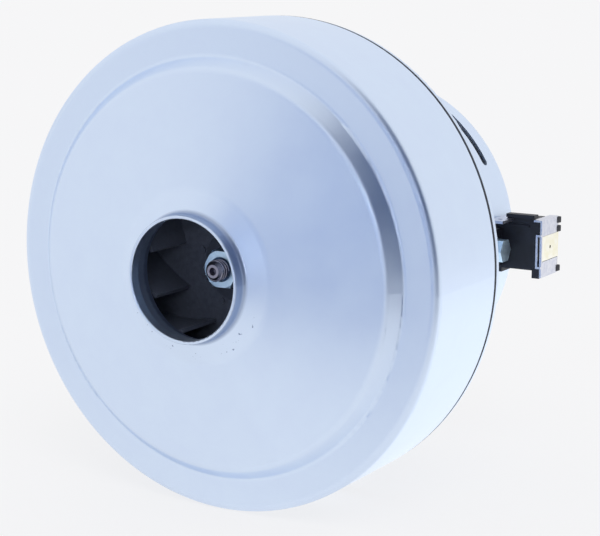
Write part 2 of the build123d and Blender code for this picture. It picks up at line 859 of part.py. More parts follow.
with BuildPart() as coil_insulator:
    for lip_z in (coil_low - fit_gap - insulator_wall, coil_high + fit_gap):
        with BuildSketch(Plane.XY.offset(lip_z)):
            with Locations((0, stack_middle_y)):
                RectangleRounded(
                    insulator_width + 2 * (coil_wall + flange_lip),
                    insulator_depth + 2 * (coil_wall + flange_lip),
                    coil_corner,
                )
                Rectangle(
                    pole_width + 2 * insulator_gap, stack_length + 2 * insulator_gap, mode=Mode.SUBTRACT
                )
        extrude(amount=insulator_wall)
    with BuildSketch(Plane.XY.offset(coil_low - fit_gap - insulator_wall)):
        with Locations((0, stack_middle_y)):
            RectangleRounded(insulator_width, insulator_depth, coil_inner_corner)
            Rectangle(
                pole_width + 2 * insulator_gap, stack_length + 2 * insulator_gap, mode=Mode.SUBTRACT
            )
    extrude(amount=coil_height + 2 * (fit_gap + insulator_wall))

for place, half_turn in (("upper", 0), ("lower", 180)):
    with BuildPart() as placed_coil:
        add(field_coil.part, rotation=(0, half_turn, 0))
    keep(placed_coil, f"field_coil_{place}")
    with BuildPart() as placed_insulator:
        add(coil_insulator.part, rotation=(0, half_turn, 0))
    keep(placed_insulator, f"coil_insulator_{place}")


# Brush holder: moulded body round the brush tube, with a screw foot, a terminal block and an end flange
seat_height = 2.3
foot_width = 11.0
saddle_low = 7.6
saddle_high = 6.6
saddle_depth = 13.0
flange_wall = 2.2
flange_low = 8.6
flange_high = 7.9
block_high = 9.0
block_length = 11.8
block_wall = 2.0
block_wall_set = 1.5
slab_wall = 1.0
slab_overhang = 0.8
rib_height = 0.6
rib_reach = 0.5
notch_reach = 1.0
notch_floor = 0.65
core_inset = 3.0
tab_width = 4.8
tab_wall = 0.8
tab_grip = 5.5
tab_overhang = 1.6
tab_drop = 0.4

seat_x = frame_radius + seat_height
holder_reach = seat_x + block_length
flange_x = holder_reach - flange_wall
core_inner_x = frame_bore - core_inset
notch_low = core_low - notch_floor
tube_hole_depth = tube_depth + 2 * fit_gap
tube_hole_width = tube_width + 2 * fit_gap
block_wall_x = seat_x + block_wall_set
tab_x = seat_x - tab_overhang + tab_width / 2
tab_top_z = block_high - tab_drop
tab_bed_z = tab_top_z - tab_wall - fit_gap

with BuildPart() as brush_holder:
    # Saddle and screw foot, curved to sit on the frame
    with BuildSketch(Plane.YZ.offset(frame_bore - overrun)):
        with Locations((holder_front_y, -saddle_low)):
            Rectangle(saddle_depth, saddle_low + saddle_high, align=(Align.MIN, Align.MIN))
        with Locations((holder_front_y, 0)):
            Rectangle(holder_screw_set, foot_width, align=(Align.MAX, Align.CENTER))
        with Locations((holder_screw_y, 0)):
            Circle(foot_width / 2)
    extrude(amount=seat_x - frame_bore + overrun)
    with BuildSketch(station(holder_screw_y - foot_width)):
        Circle(frame_radius + fit_gap)
    extrude(amount=-(2 * foot_width + 2 * saddle_depth), mode=Mode.SUBTRACT)
    # Core through the frame's window, end flange and terminal block
    with BuildSketch(Plane.YZ.offset(core_inner_x)):
        with Locations((brush_y, (core_high - core_low) / 2)):
            Rectangle(core_depth, core_high + core_low)
    extrude(amount=holder_reach - core_inner_x)
    with BuildSketch(Plane.YZ.offset(flange_x)):
        with Locations((brush_y, (flange_high - flange_low) / 2)):
            Rectangle(core_depth, flange_high + flange_low)
    extrude(amount=flange_wall)
    with BuildSketch(Plane.YZ.offset(seat_x)):
        with Locations((brush_y, core_high)):
            Rectangle(core_depth, tab_bed_z - core_high, align=(Align.CENTER, Align.MIN))
    extrude(amount=flange_x - seat_x)
    with BuildSketch(Plane.YZ.offset(block_wall_x)):
        with Locations((holder_front_y, core_high)):
            Rectangle(block_wall, block_high - core_high, align=(Align.MIN, Align.MIN))
    extrude(amount=flange_x - block_wall_x)
    with BuildSketch(Plane.YZ.offset(block_wall_x)):
        with Locations((holder_front_y - slab_overhang, block_high)):
            Rectangle(block_wall + slab_overhang, slab_wall, align=(Align.MIN, Align.MIN))
    extrude(amount=flange_x + slab_overhang - block_wall_x)
    # Rib along the block's front
    with BuildSketch(Plane.YZ.offset(block_wall_x + slab_wall)):
        with Locations((holder_front_y, (core_high + block_high) / 2)):
            Rectangle(rib_reach * 2, rib_height)
    extrude(amount=flange_x - block_wall_x - 2 * slab_wall)
    # Tube hole, and the notch that shows the tube's end
    with BuildSketch(Plane.YZ.offset(core_inner_x)):
        with Locations((brush_y, 0)):
            Rectangle(tube_hole_depth, tube_hole_width)
    extrude(amount=holder_reach - core_inner_x + overrun, mode=Mode.SUBTRACT)
    with BuildSketch(Plane.YZ.offset(holder_reach - notch_reach)):
        with Locations((holder_front_y - rib_reach, -notch_low)):
            Rectangle(holder_wall + 2 * rib_reach, notch_low + core_high, align=(Align.MIN, Align.MIN))
    extrude(amount=notch_reach + overrun, mode=Mode.SUBTRACT)
    # Screw hole and the slot that takes the terminal tab
    with BuildSketch(Plane.YZ.offset(frame_bore)):
        with Locations((holder_screw_y, 0)):
            Circle(holder_screw_radius + fit_gap)
    extrude(amount=seat_height * 2 + frame_wall, mode=Mode.SUBTRACT)
    with BuildSketch(Plane.XY.offset(tab_top_z + fit_gap)):
        with Locations((tab_x, holder_front_y + tab_grip + fit_gap)):
            Rectangle(
                tab_width + 2 * fit_gap, tab_grip + fit_gap + overrun, align=(Align.CENTER, Align.MAX)
            )
    extrude(amount=-(tab_wall + 2 * fit_gap), mode=Mode.SUBTRACT)


# Terminal tab: tinned blade that stands out of the terminal block, for a push-on connector
tab_reach = 7.0
tab_hole_radius = 0.7

with BuildPart() as terminal_tab:
    with BuildSketch(Plane.XY.offset(tab_top_z)):
        with Locations((tab_x, holder_front_y)):
            Rectangle(tab_width, tab_grip, align=(Align.CENTER, Align.MIN))
            Rectangle(tab_width, tab_reach, align=(Align.CENTER, Align.MAX))
        with Locations((tab_x, holder_front_y - tab_reach / 2)):
            Circle(tab_hole_radius, mode=Mode.SUBTRACT)
    extrude(amount=-tab_wall)

# End plate: tinned spring clip over the holder's end, open where the brush tube ends
clip_wall = 0.6
clip_inset = 0.2
clip_rear_inset = 1.6
clip_window_gap = 0.1
fold_reach = 2.0
lip_wall = 0.6
lip_reach = 0.4
lip_overlap = 0.6

clip_x = holder_reach + clip_wall
clip_front_y = holder_front_y + clip_inset
clip_depth = core_depth - clip_inset - clip_rear_inset

with BuildPart() as holder_clip:
    with BuildSketch(Plane.YZ.offset(holder_reach)):
        with Locations((clip_front_y, clip_inset - flange_low)):
            Rectangle(clip_depth, flange_high + fit_gap + flange_low - clip_inset, align=(Align.MIN, Align.MIN))
        with Locations((brush_y, 0)):
            Rectangle(
                tube_depth + 2 * clip_window_gap, tube_width + 2 * clip_window_gap, mode=Mode.SUBTRACT
            )
    extrude(amount=clip_wall)
    # Fold over the flange's top, and the lip round the notch
    with BuildSketch(Plane.YZ.offset(holder_reach - fold_reach)):
        with Locations((clip_front_y, flange_high + fit_gap)):
            Rectangle(clip_depth, clip_wall, align=(Align.MIN, Align.MIN))
    extrude(amount=fold_reach + clip_wall)
    with BuildSketch(Plane.YZ.offset(holder_reach - notch_reach)):
        with Locations((holder_front_y - lip_reach, -notch_low)):
            Rectangle(lip_reach, notch_low + core_high, align=(Align.MIN, Align.MIN))
    extrude(amount=lip_wall)
    for lip_z in (-notch_low, core_high - lip_wall):
        with BuildSketch(Plane.YZ.offset(holder_reach - notch_reach)):
            with Locations((holder_front_y - lip_reach, lip_z)):
                Rectangle(lip_reach + lip_overlap, lip_wall, align=(Align.MIN, Align.MIN))
        extrude(amount=notch_reach + clip_wall)


# Brush tube: brass sheet bent to a box, closed at its outer end as the spring's seat
tube_inner_x = commutator_radius + riser_height + rotor_gap
tube_end_wall = 0.5
spring_hole_radius = 0.5

tube_end_x = clip_x - fit_gap * 2

with BuildPart() as brush_tube:
    with BuildSketch(Plane.YZ.offset(tube_inner_x)):
        with Locations((brush_y, 0)):
            Rectangle(tube_depth, tube_width)
    extrude(amount=tube_end_x - tube_inner_x)
    with BuildSketch(Plane.YZ.offset(tube_inner_x)):
        with Locations((brush_y, 0)):
            Rectangle(tube_depth - 2 * tube_wall, tube_width - 2 * tube_wall)
    extrude(amount=tube_end_x - tube_end_wall - tube_inner_x, mode=Mode.SUBTRACT)
    with BuildSketch(Plane.YZ.offset(tube_end_x - tube_end_wall)):
        with Locations((brush_y, 0)):
            Circle(spring_hole_radius)
    extrude(amount=tube_end_wall, mode=Mode.SUBTRACT)


# Carbon brush: hollowed to the commutator at its inner end, with a peg for the spring at its outer end
peg_radius = 1.6
peg_length = 2.0

brush_inner_x = commutator_radius
brush_end_x = brush_inner_x + brush_length

with BuildPart() as carbon_brush:
    with BuildSketch(Plane.YZ.offset(brush_inner_x - overrun)):
        with Locations((brush_y, 0)):
            Rectangle(brush_depth, brush_width)
    extrude(amount=brush_length + overrun)
    with BuildSketch(Plane.YZ.offset(brush_end_x)):
        with Locations((brush_y, 0)):
            Circle(peg_radius)
    extrude(amount=peg_length)
    with BuildSketch(station(brush_y - brush_depth)):
        Circle(commutator_radius + rub_gap)
    extrude(amount=-2 * brush_depth, mode=Mode.SUBTRACT)


# Brush spring: round wire coil between the brush and the tube's end
spring_radius = 2.3
spring_wire_radius = 0.3
spring_wire_sides = 6
spring_turns = 7

spring_length = tube_end_x - tube_end_wall - brush_end_x
spring_rise = spring_length - 2 * spring_wire_radius - 2 * fit_gap
spring_x = brush_end_x + spring_wire_radius + fit_gap

with BuildPart() as brush_spring:
    with BuildLine() as spring_path:
        Helix(
            pitch=spring_rise / spring_turns,
            height=spring_rise,
            radius=spring_radius,
            center=(spring_x, brush_y, 0),
            direction=(1, 0, 0),
        )
    with BuildSketch(Plane(origin=spring_path.line @ 0, z_dir=spring_path.line % 0)):
        RegularPolygon(spring_wire_radius, spring_wire_sides)
    sweep(path=spring_path.line, is_frenet=True)


# Holder screw: hexagon head with a washer face, through the foot and the frame
screw_face_radius = 3.9
screw_face_wall = 0.8
screw_hex = 6.2
screw_hex_height = 3.4
screw_length = 4.6

with BuildPart() as holder_screw:
    with BuildSketch(Plane.YZ.offset(seat_x)):
        with Locations((holder_screw_y, 0)):
            Circle(screw_face_radius)
    extrude(amount=screw_face_wall)
    with BuildSketch(Plane.YZ.offset(seat_x + screw_face_wall)):
        with Locations((holder_screw_y, 0)):
            RegularPolygon(screw_hex / 2, nut_sides, major_radius=False)
    extrude(amount=screw_hex_height)
    with BuildSketch(Plane.YZ.offset(seat_x - screw_length)):
        with Locations((holder_screw_y, 0)):
            Circle(holder_screw_radius)
    extrude(amount=screw_length)


# The brush gear on the right, and the same pieces half a turn round on the left
for side, half_turn in (("right", 0), ("left", 180)):
    for gear, name in (
        (brush_holder, "brush_holder"),
        (terminal_tab, "terminal_tab"),
        (holder_clip, "holder_clip"),
        (brush_tube, "brush_tube"),
        (carbon_brush, "carbon_brush"),
        (brush_spring, "brush_spring"),
        (holder_screw, "holder_screw"),
    ):
        with BuildPart() as placed_gear:
            add(gear.part, rotation=(0, half_turn, 0))
        keep(placed_gear, f"{name}_{side}")
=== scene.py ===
import math

import bpy
from mathutils import Matrix, Vector


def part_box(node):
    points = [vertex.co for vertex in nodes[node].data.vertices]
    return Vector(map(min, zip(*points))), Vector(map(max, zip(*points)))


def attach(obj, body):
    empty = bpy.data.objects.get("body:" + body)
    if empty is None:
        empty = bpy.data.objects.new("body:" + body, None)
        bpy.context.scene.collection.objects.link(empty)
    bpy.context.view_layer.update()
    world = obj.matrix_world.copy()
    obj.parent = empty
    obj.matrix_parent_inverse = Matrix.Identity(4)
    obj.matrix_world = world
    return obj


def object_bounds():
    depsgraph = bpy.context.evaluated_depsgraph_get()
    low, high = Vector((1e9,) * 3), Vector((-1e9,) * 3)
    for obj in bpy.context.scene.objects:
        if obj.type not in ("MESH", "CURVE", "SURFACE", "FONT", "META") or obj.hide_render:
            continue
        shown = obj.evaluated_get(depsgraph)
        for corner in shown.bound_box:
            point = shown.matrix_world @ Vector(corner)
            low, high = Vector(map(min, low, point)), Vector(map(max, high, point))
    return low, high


# Vacuum motor unit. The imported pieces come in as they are, in metres, with the shaft along Y and
# the inlet at -Y. Each section below finishes one piece, or a group made of the same stuff.
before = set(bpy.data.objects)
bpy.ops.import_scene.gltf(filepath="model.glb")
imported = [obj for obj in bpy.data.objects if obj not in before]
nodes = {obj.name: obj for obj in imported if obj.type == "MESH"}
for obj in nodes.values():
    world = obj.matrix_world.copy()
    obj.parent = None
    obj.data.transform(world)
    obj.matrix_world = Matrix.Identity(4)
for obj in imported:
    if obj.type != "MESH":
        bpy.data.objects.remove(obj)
cad_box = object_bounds()

# Fan cover and motor frame: sheet steel, drawn to shape, then zinc plated and passivated pale blue.
# Drawing leaves a fine grain round the shaft, and handling leaves dull patches. A grey band on the
# collar's outer wall is painted shade, and dark spots round the lower part of its foot are painted
# shadow.
MM = 0.001
DRAW_MARK = 0.5 * MM
DRAW_DEPTH = 0.02 * MM
DULL_PATCH = 9 * MM
COLLAR_SHADE_REACH = 20 * MM
FOOT_SHADE_SPOT = 1.2 * MM
FOOT_SHADE_RADIUS = 21 * MM
FOOT_SHADE_BAND = 1.4 * MM
FOOT_SHADE_TOP = -6 * MM


def linear(code):
    """The linear colour of an sRGB hex value."""
    channels = [int(code[i : i + 2], 16) / 255 for i in (1, 3, 5)]
    return [c / 12.92 if c <= 0.04045 else ((c + 0.055) / 1.055) ** 2.4 for c in channels] + [1]


def add_node(owner, kind, inputs, stops=(), **settings):
    """Adds a node to a material or the world: its settings, values, links and a ramp's stops."""
    tree = owner.node_tree
    made = tree.nodes.new(kind)
    for name, value in settings.items():
        setattr(made, name, value)
    for name, value in inputs.items():
        if isinstance(value, bpy.types.NodeSocket):
            tree.links.new(value, made.inputs[name])
        else:
            made.inputs[name].default_value = value
    for index, (position, code) in enumerate(stops):
        elements = made.color_ramp.elements
        stop = elements[index] if index < len(elements) else elements.new(position)
        stop.position = position
        stop.color = linear(code)
    return made


def new_material(name, colour, metallic, roughness):
    """A material with its plain values on the shader, and Object coordinates for its patterns."""
    material = bpy.data.materials.new(name)
    material.use_nodes = True
    shader = material.node_tree.nodes["Principled BSDF"]
    shader.inputs["Base Color"].default_value = linear(colour)
    shader.inputs["Metallic"].default_value = metallic
    shader.inputs["Roughness"].default_value = roughness
    place = add_node(material, "ShaderNodeTexCoord", {}).outputs["Object"]
    return material, shader, place


def feed(material, shader, **sockets):
    """Links finished patterns to the shader's sockets."""
    for name, socket in sockets.items():
        material.node_tree.links.new(socket, shader.inputs[name.replace("_", " ")])


def dress(material, *names):
    """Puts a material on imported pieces."""
    for name in names:
        for slot in nodes[name].material_slots:
            slot.material = material


zinc_sheet, shader, place = new_material(
    "zinc_plated_drawn_steel", "#DAE8FC", metallic=1, roughness=0.42
)
axes = add_node(zinc_sheet, "ShaderNodeSeparateXYZ", {"Vector": place}).outputs
across = add_node(zinc_sheet, "ShaderNodeCombineXYZ", {"X": axes["X"], "Z": axes["Z"]})
radius = add_node(
    zinc_sheet, "ShaderNodeVectorMath", {0: across.outputs[0]}, operation="LENGTH"
).outputs["Value"]
grain_place = add_node(zinc_sheet, "ShaderNodeCombineXYZ", {"X": radius, "Y": axes["Y"]})
grain = add_node(
    zinc_sheet,
    "ShaderNodeTexNoise",
    {"Vector": grain_place.outputs[0], "Scale": 1 / DRAW_MARK, "Detail": 2.0, "Roughness": 0.6},
)
patches = add_node(
    zinc_sheet,
    "ShaderNodeTexNoise",
    {"Vector": place, "Scale": 1 / DULL_PATCH, "Detail": 4.0, "Roughness": 0.55},
)
dulled = add_node(
    zinc_sheet,
    "ShaderNodeMapRange",
    {
        "Value": patches.outputs["Fac"],
        "From Min": 0.35,
        "From Max": 0.7,
        "To Min": 0.38,
        "To Max": 0.43,
    },
)
tint = add_node(
    zinc_sheet,
    "ShaderNodeValToRGB",
    {"Fac": patches.outputs["Fac"]},
    stops=((0.3, "#D8E6FB"), (0.7, "#DCEAFD")),
)
# The collar's painted shade lies between radius 17 and 18.4 mm, so its stops are those radii over
# the ramp's 20 mm
reach = add_node(zinc_sheet, "ShaderNodeMath", {0: radius, 1: 1 / COLLAR_SHADE_REACH}, operation="MULTIPLY")
collar_shade = add_node(
    zinc_sheet,
    "ShaderNodeValToRGB",
    {"Fac": reach.outputs[0]},
    stops=((0.85, "#FFFFFF"), (0.862, "#C2C6D0"), (0.885, "#C2C6D0"), (0.92, "#FFFFFF")),
)
# The painted shadow is the peaks of a fine noise, in a band round the lower part of the collar's
# foot
foot_shade_noise = add_node(
    zinc_sheet, "ShaderNodeTexNoise", {"Vector": place, "Scale": 1 / FOOT_SHADE_SPOT, "Detail": 2.0}
)
band = add_node(
    zinc_sheet, "ShaderNodeMath", {0: radius, 1: FOOT_SHADE_RADIUS, 2: FOOT_SHADE_BAND}, operation="COMPARE"
)
below = add_node(zinc_sheet, "ShaderNodeMath", {0: axes["Z"], 1: FOOT_SHADE_TOP}, operation="LESS_THAN")
foot_shade_zone = add_node(
    zinc_sheet, "ShaderNodeMath", {0: band.outputs[0], 1: below.outputs[0]}, operation="MULTIPLY"
)
foot_shade_mask = add_node(
    zinc_sheet,
    "ShaderNodeMath",
    {0: foot_shade_noise.outputs["Fac"], 1: foot_shade_zone.outputs[0]},
    operation="MULTIPLY",
)
foot_shade = add_node(
    zinc_sheet,
    "ShaderNodeValToRGB",
    {"Fac": foot_shade_mask.outputs[0]},
    stops=((0.66, "#FFFFFF"), (0.72, "#99A1B4")),
)
# The collar's painted shade and the foot's painted shadow, together
painted_collar_and_foot_shade = add_node(
    zinc_sheet,
    "ShaderNodeVectorMath",
    {0: collar_shade.outputs["Color"], 1: foot_shade.outputs["Color"]},
    operation="MULTIPLY",
)
# The plating's random tone, darkened by that painted shade and shadow
plated = add_node(
    zinc_sheet,
    "ShaderNodeVectorMath",
    {0: tint.outputs["Color"], 1: painted_collar_and_foot_shade.outputs[0]},
    operation="MULTIPLY",
)
relief = add_node(
    zinc_sheet,
    "ShaderNodeBump",
    {"Height": grain.outputs["Fac"], "Strength": 0.1, "Distance": DRAW_DEPTH},
)
feed(
    zinc_sheet,
    shader,
    Base_Color=plated.outputs[0],
    Roughness=dulled.outputs["Result"],
    Normal=relief.outputs["Normal"],
)
dress(zinc_sheet, "fan_cover", "motor_frame")

# Front bracket: the same zinc-plated steel, but flat stock that is pressed and not drawn, so its
# grain is even in all directions and it is a little duller.
BRACKET_GRAIN = 1.5 * MM
bracket_sheet, shader, place = new_material(
    "zinc_plated_pressed_steel", "#B9C6DC", metallic=1, roughness=0.42
)
grain = add_node(
    bracket_sheet,
    "ShaderNodeTexNoise",
    {"Vector": place, "Scale": 1 / BRACKET_GRAIN, "Detail": 3.0},
)
dulled = add_node(
    bracket_sheet,
    "ShaderNodeMapRange",
    {
        "Value": grain.outputs["Fac"],
        "From Min": 0.3,
        "From Max": 0.7,
        "To Min": 0.36,
        "To Max": 0.5,
    },
)
feed(bracket_sheet, shader, Roughness=dulled.outputs["Result"])
dress(bracket_sheet, "front_bracket")

# Impeller: wheel and shroud moulded in glass-filled nylon, dark grey, with a soft sheen and a faint
# mottle from the fibres.
FIBRE_MOTTLE = 1.2 * MM
fan_plastic, shader, place = new_material(
    "glass_filled_nylon_dark_grey", "#4A5060", metallic=0, roughness=0.36
)
fibres = add_node(
    fan_plastic,
    "ShaderNodeTexNoise",
    {"Vector": place, "Scale": 1 / FIBRE_MOTTLE, "Detail": 5.0, "Roughness": 0.65},
)
mottle = add_node(
    fan_plastic,
    "ShaderNodeValToRGB",
    {"Fac": fibres.outputs["Fac"]},
    stops=((0.3, "#454B5B"), (0.7, "#535A6B")),
)
sheen = add_node(
    fan_plastic,
    "ShaderNodeMapRange",
    {
        "Value": fibres.outputs["Fac"],
        "From Min": 0.3,
        "From Max": 0.7,
        "To Min": 0.3,
        "To Max": 0.46,
    },
)
feed(fan_plastic, shader, Base_Color=mottle.outputs["Color"], Roughness=sheen.outputs["Result"])
dress(fan_plastic, "impeller_wheel", "impeller_shroud")

# Diffuser, brush holders and commutator hub: black moulded thermoset, satin, with the fine
# spark-eroded texture of its mould.
MOULD_TEXTURE = 0.35 * MM
MOULD_DEPTH = 0.03 * MM
RESIN_CLOUD = 4 * MM
black_plastic, shader, place = new_material(
    "black_moulded_thermoset", "#10131F", metallic=0, roughness=0.5
)
eroded = add_node(
    black_plastic,
    "ShaderNodeTexNoise",
    {"Vector": place, "Scale": 1 / MOULD_TEXTURE, "Detail": 3.0},
)
cloudy = add_node(
    black_plastic, "ShaderNodeTexNoise", {"Vector": place, "Scale": 1 / RESIN_CLOUD, "Detail": 3.0}
)
shade = add_node(
    black_plastic,
    "ShaderNodeValToRGB",
    {"Fac": cloudy.outputs["Fac"]},
    stops=((0.3, "#0D101B"), (0.7, "#161A29")),
)
relief = add_node(
    black_plastic,
    "ShaderNodeBump",
    {"Height": eroded.outputs["Fac"], "Strength": 0.2, "Distance": MOULD_DEPTH},
)
feed(black_plastic, shader, Base_Color=shade.outputs["Color"], Normal=relief.outputs["Normal"])
dress(black_plastic, "diffuser", "brush_holder_right", "brush_holder_left", "commutator_hub")

# Nut and screws: cold-formed steel with bright blue-white zinc plate, faintly dulled in spots where
# they rubbed together in the barrel.
BARREL_WEAR = 0.8 * MM
bright_zinc, shader, place = new_material(
    "bright_zinc_plated_steel", "#CFE8FA", metallic=1, roughness=0.38
)
wear = add_node(
    bright_zinc, "ShaderNodeTexNoise", {"Vector": place, "Scale": 1 / BARREL_WEAR, "Detail": 4.0}
)
rub = add_node(
    bright_zinc,
    "ShaderNodeMapRange",
    {"Value": wear.outputs["Fac"], "From Min": 0.3, "From Max": 0.7, "To Min": 0.3, "To Max": 0.46},
)
feed(bright_zinc, shader, Roughness=rub.outputs["Result"])
dress(
    bright_zinc,
    "impeller_nut",
    "diffuser_screws",
    "bracket_screws",
    "holder_screw_right",
    "holder_screw_left",
)

# Shaft and spacer: carbon steel, ground round the axis and bare, so it is plain grey with fine
# lines across its length.
GRINDING_LINE = 0.15 * MM


def along_shaft(material, place):
    """The distance along the shaft alone, so that a pattern's lines run round it."""
    axes = add_node(material, "ShaderNodeSeparateXYZ", {"Vector": place}).outputs
    return add_node(material, "ShaderNodeCombineXYZ", {"X": axes["Y"]}).outputs[0]


shaft_steel, shader, place = new_material(
    "ground_carbon_steel", "#9A98A6", metallic=1, roughness=0.3
)
lines = add_node(
    shaft_steel,
    "ShaderNodeTexNoise",
    {"Vector": along_shaft(shaft_steel, place), "Scale": 1 / GRINDING_LINE, "Detail": 2.0},
)
ground = add_node(
    shaft_steel,
    "ShaderNodeMapRange",
    {
        "Value": lines.outputs["Fac"],
        "From Min": 0.3,
        "From Max": 0.7,
        "To Min": 0.22,
        "To Max": 0.4,
    },
)
feed(shaft_steel, shader, Roughness=ground.outputs["Result"])
dress(shaft_steel, "shaft", "impeller_spacer")

# Impeller washer: spring steel, coloured near black as painted shade for the shadow ring round the
# nut, matt and slightly oily.
# The oil gathers in small patches that shine a little more.
OIL_PATCH = 1.2 * MM
# Its near-black colour is painted shade round the nut
washer_shade_steel, shader, place = new_material(
    "spring_steel_painted_shade", "#2B2D33", metallic=1, roughness=0.42
)
oil = add_node(
    washer_shade_steel, "ShaderNodeTexNoise", {"Vector": place, "Scale": 1 / OIL_PATCH, "Detail": 3.0}
)
film = add_node(
    washer_shade_steel,
    "ShaderNodeMapRange",
    {"Value": oil.outputs["Fac"], "From Min": 0.3, "From Max": 0.7, "To Min": 0.34, "To Max": 0.5},
)
feed(washer_shade_steel, shader, Roughness=film.outputs["Result"])
dress(washer_shade_steel, "impeller_washer")

# Bearings: rings and balls in polished chromium steel with a thin haze of grease, and cages moulded
# in amber glass-filled nylon. Their shields have the tin of a later section.
GREASE_HAZE = 1.5 * MM
CAGE_CLOUD = 2 * MM
bearing_steel, shader, place = new_material(
    "polished_bearing_steel", "#D5D8DC", metallic=1, roughness=0.16
)
haze = add_node(
    bearing_steel, "ShaderNodeTexNoise", {"Vector": place, "Scale": 1 / GREASE_HAZE, "Detail": 3.0}
)
polish = add_node(
    bearing_steel,
    "ShaderNodeMapRange",
    {
        "Value": haze.outputs["Fac"],
        "From Min": 0.3,
        "From Max": 0.7,
        "To Min": 0.12,
        "To Max": 0.24,
    },
)
feed(bearing_steel, shader, Roughness=polish.outputs["Result"])
cage_nylon, shader, place = new_material("amber_nylon", "#8A6A3C", metallic=0, roughness=0.4)
cloud = add_node(
    cage_nylon, "ShaderNodeTexNoise", {"Vector": place, "Scale": 1 / CAGE_CLOUD, "Detail": 2.0}
)
amber = add_node(
    cage_nylon,
    "ShaderNodeValToRGB",
    {"Fac": cloud.outputs["Fac"]},
    stops=((0.0, "#7D5E33"), (1.0, "#967546")),
)
feed(cage_nylon, shader, Base_Color=amber.outputs["Color"])
for end in ("front", "rear"):
    dress(
        bearing_steel,
        f"{end}_bearing_outer_ring",
        f"{end}_bearing_inner_ring",
        f"{end}_bearing_balls",
    )
    dress(cage_nylon, f"{end}_bearing_cage")

# Tinned parts: the terminal tabs, the holders' end plates and the bearing shields are steel or
# brass strip with a soft grey-white coat of tin, a little uneven from the bath.
TIN_SMEAR = 1.4 * MM
tin, shader, place = new_material("tinned_strip", "#D6D9E4", metallic=1, roughness=0.36)
smear = add_node(
    tin, "ShaderNodeTexNoise", {"Vector": place, "Scale": 1 / TIN_SMEAR, "Detail": 4.0}
)
coat = add_node(
    tin,
    "ShaderNodeValToRGB",
    {"Fac": smear.outputs["Fac"]},
    stops=((0.3, "#C6CADA"), (0.7, "#E2E4EC")),
)
soft = add_node(
    tin,
    "ShaderNodeMapRange",
    {
        "Value": smear.outputs["Fac"],
        "From Min": 0.3,
        "From Max": 0.7,
        "To Min": 0.3,
        "To Max": 0.46,
    },
)
feed(tin, shader, Base_Color=coat.outputs["Color"], Roughness=soft.outputs["Result"])
dress(
    tin,
    "terminal_tab_right",
    "terminal_tab_left",
    "holder_clip_right",
    "holder_clip_left",
    "front_bearing_shields",
    "rear_bearing_shields",
)

# Brush tubes: brass sheet folded to a box, new and pale, with a faint stain left from the folding
# oil. The photograph shows the end of the right one as a cream square.
BRASS_STAIN = 2.5 * MM
brass, shader, place = new_material("brass_sheet", "#F0EBCB", metallic=1, roughness=0.3)
stain = add_node(
    brass, "ShaderNodeTexNoise", {"Vector": place, "Scale": 1 / BRASS_STAIN, "Detail": 4.0}
)
gold = add_node(
    brass,
    "ShaderNodeValToRGB",
    {"Fac": stain.outputs["Fac"]},
    stops=((0.3, "#F3EFD6"), (0.7, "#FBFAF0")),
)
feed(brass, shader, Base_Color=gold.outputs["Color"])
dress(brass, "brush_tube_right", "brush_tube_left")

# Brushes: pressed carbon and graphite, matt black with a slight grey speckle from the graphite.
# They are pressed to size from powder, so the speckle is the same on all faces.
CARBON_GRIT = 0.3 * MM
carbon, shader, place = new_material("pressed_carbon", "#232326", metallic=0, roughness=0.55)
grit = add_node(
    carbon, "ShaderNodeTexNoise", {"Vector": place, "Scale": 1 / CARBON_GRIT, "Detail": 3.0}
)
speck = add_node(
    carbon,
    "ShaderNodeValToRGB",
    {"Fac": grit.outputs["Fac"]},
    stops=((0.35, "#1B1B1E"), (0.7, "#323236")),
)
feed(carbon, shader, Base_Color=speck.outputs["Color"])
dress(carbon, "carbon_brush_right", "carbon_brush_left")

# Brush springs: drawn stainless wire, coiled cold, bright with duller marks from the die and the
# coiling pins.
DIE_MARK = 0.4 * MM
spring_wire, shader, place = new_material(
    "drawn_spring_wire", "#A8A9AE", metallic=1, roughness=0.28
)
draw = add_node(
    spring_wire, "ShaderNodeTexNoise", {"Vector": place, "Scale": 1 / DIE_MARK, "Detail": 2.0}
)
drawn = add_node(
    spring_wire,
    "ShaderNodeMapRange",
    {"Value": draw.outputs["Fac"], "From Min": 0.3, "From Max": 0.7, "To Min": 0.2, "To Max": 0.36},
)
feed(spring_wire, shader, Roughness=drawn.outputs["Result"])
dress(spring_wire, "brush_spring_right", "brush_spring_left")

# Cores: stacks of 0.5 mm silicon-steel sheets, blue-grey from annealing, with the sheet edges
# showing as fine lines across the shaft. They are drawn 1 mm apart, because 0.5 mm is too fine to
# show. A wave pattern of scale 1 repeats every 0.31 m, so a spacing's scale is 0.31 m over it.
WAVE_REPEAT = 0.31
SHEET_SPACING = 1 * MM
SHEET_DEPTH = 0.1 * MM
OXIDE_PATCH = 5 * MM
laminations, shader, place = new_material(
    "annealed_lamination_stack", "#6F747F", metallic=1, roughness=0.45
)
edges = add_node(
    laminations,
    "ShaderNodeTexWave",
    {
        "Vector": along_shaft(laminations, place),
        "Scale": WAVE_REPEAT / SHEET_SPACING,
        "Distortion": 0.0,
    },
)
oxide = add_node(
    laminations, "ShaderNodeTexNoise", {"Vector": place, "Scale": 1 / OXIDE_PATCH, "Detail": 3.0}
)
blued = add_node(
    laminations,
    "ShaderNodeValToRGB",
    {"Fac": oxide.outputs["Fac"]},
    stops=((0.3, "#5D6370"), (0.7, "#828690")),
)
relief = add_node(
    laminations,
    "ShaderNodeBump",
    {"Height": edges.outputs["Fac"], "Strength": 0.5, "Distance": SHEET_DEPTH},
)
feed(laminations, shader, Base_Color=blued.outputs["Color"], Normal=relief.outputs["Normal"])
dress(laminations, "stator_core", "rotor_core")

